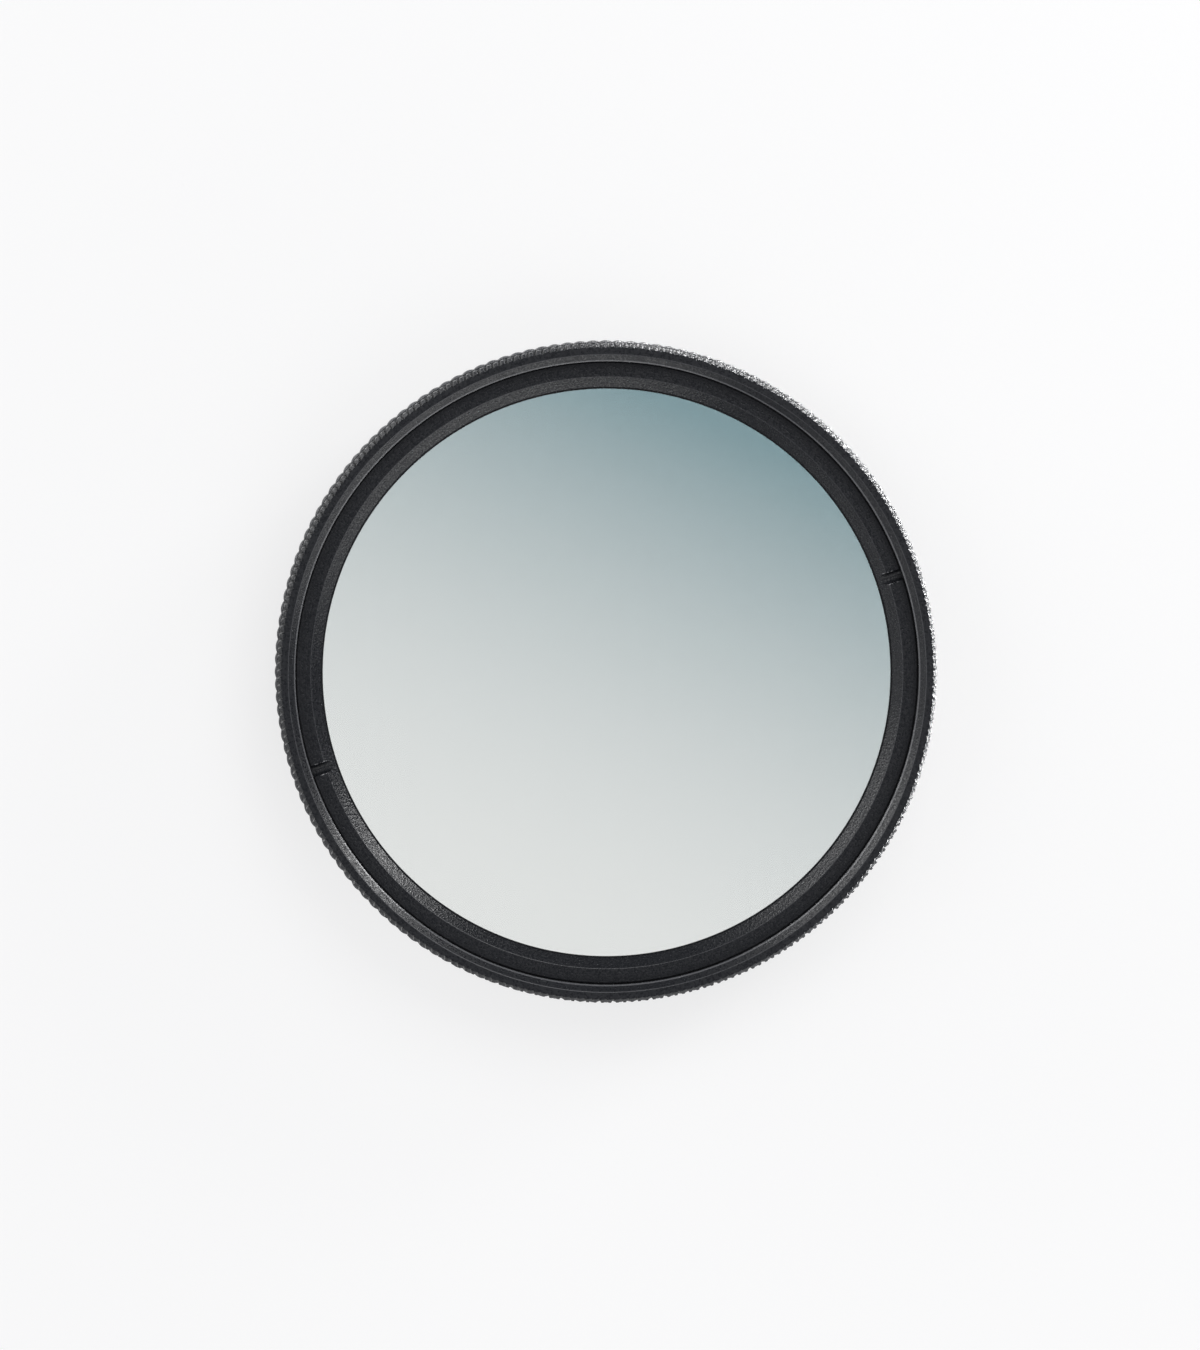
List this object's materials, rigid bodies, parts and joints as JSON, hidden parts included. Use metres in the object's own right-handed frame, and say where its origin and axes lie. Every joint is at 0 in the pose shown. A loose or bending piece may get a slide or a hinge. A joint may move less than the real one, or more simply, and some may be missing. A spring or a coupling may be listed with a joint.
{
  "type": "variable neutral density filter",
  "caption": "Round camera filter of two knurled black rings, each holding a polariser; turning the front ring between its stops sets how dark the view is.",
  "frame": {"origin": "on the optical axis, at the rear end face of the lens thread, on which the filter lies", "axes": "+Z along the optical axis towards the subject, +X to the right and +Y upwards as the picture shows the front"},
  "size_m": [0.0704, 0.0704, 0.0108],
  "materials": {
    "black_anodised": "satin black anodised",
    "coated_glass": "polished, coated",
    "polarising_film": "smooth",
    "retarder_film": "smooth",
    "spring_steel": "drawn wire",
    "blackened_steel": "blackened"
  },
  "bodies": {
    "mount": {"mount_ring": "black_anodised", "rear_retaining_ring": "black_anodised", "rear_outer_glass": "coated_glass", "quarter_wave_film": "retarder_film", "rear_polarising_film": "polarising_film", "rear_inner_glass": "coated_glass", "snap_ring": "spring_steel", "stop_screw": "blackened_steel"},
    "front": {"front_ring": "black_anodised", "front_inner_glass": "coated_glass", "front_polarising_film": "polarising_film", "front_outer_glass": "coated_glass", "front_retaining_ring": "black_anodised"}
  },
  "joints": [
    {"name": "density_turn", "type": "hinge", "parent": "mount", "child": "front", "pos_m": [0, 0, 0.006], "axis": [0, 0, 1], "range_deg": [0, 70]}
  ]
}
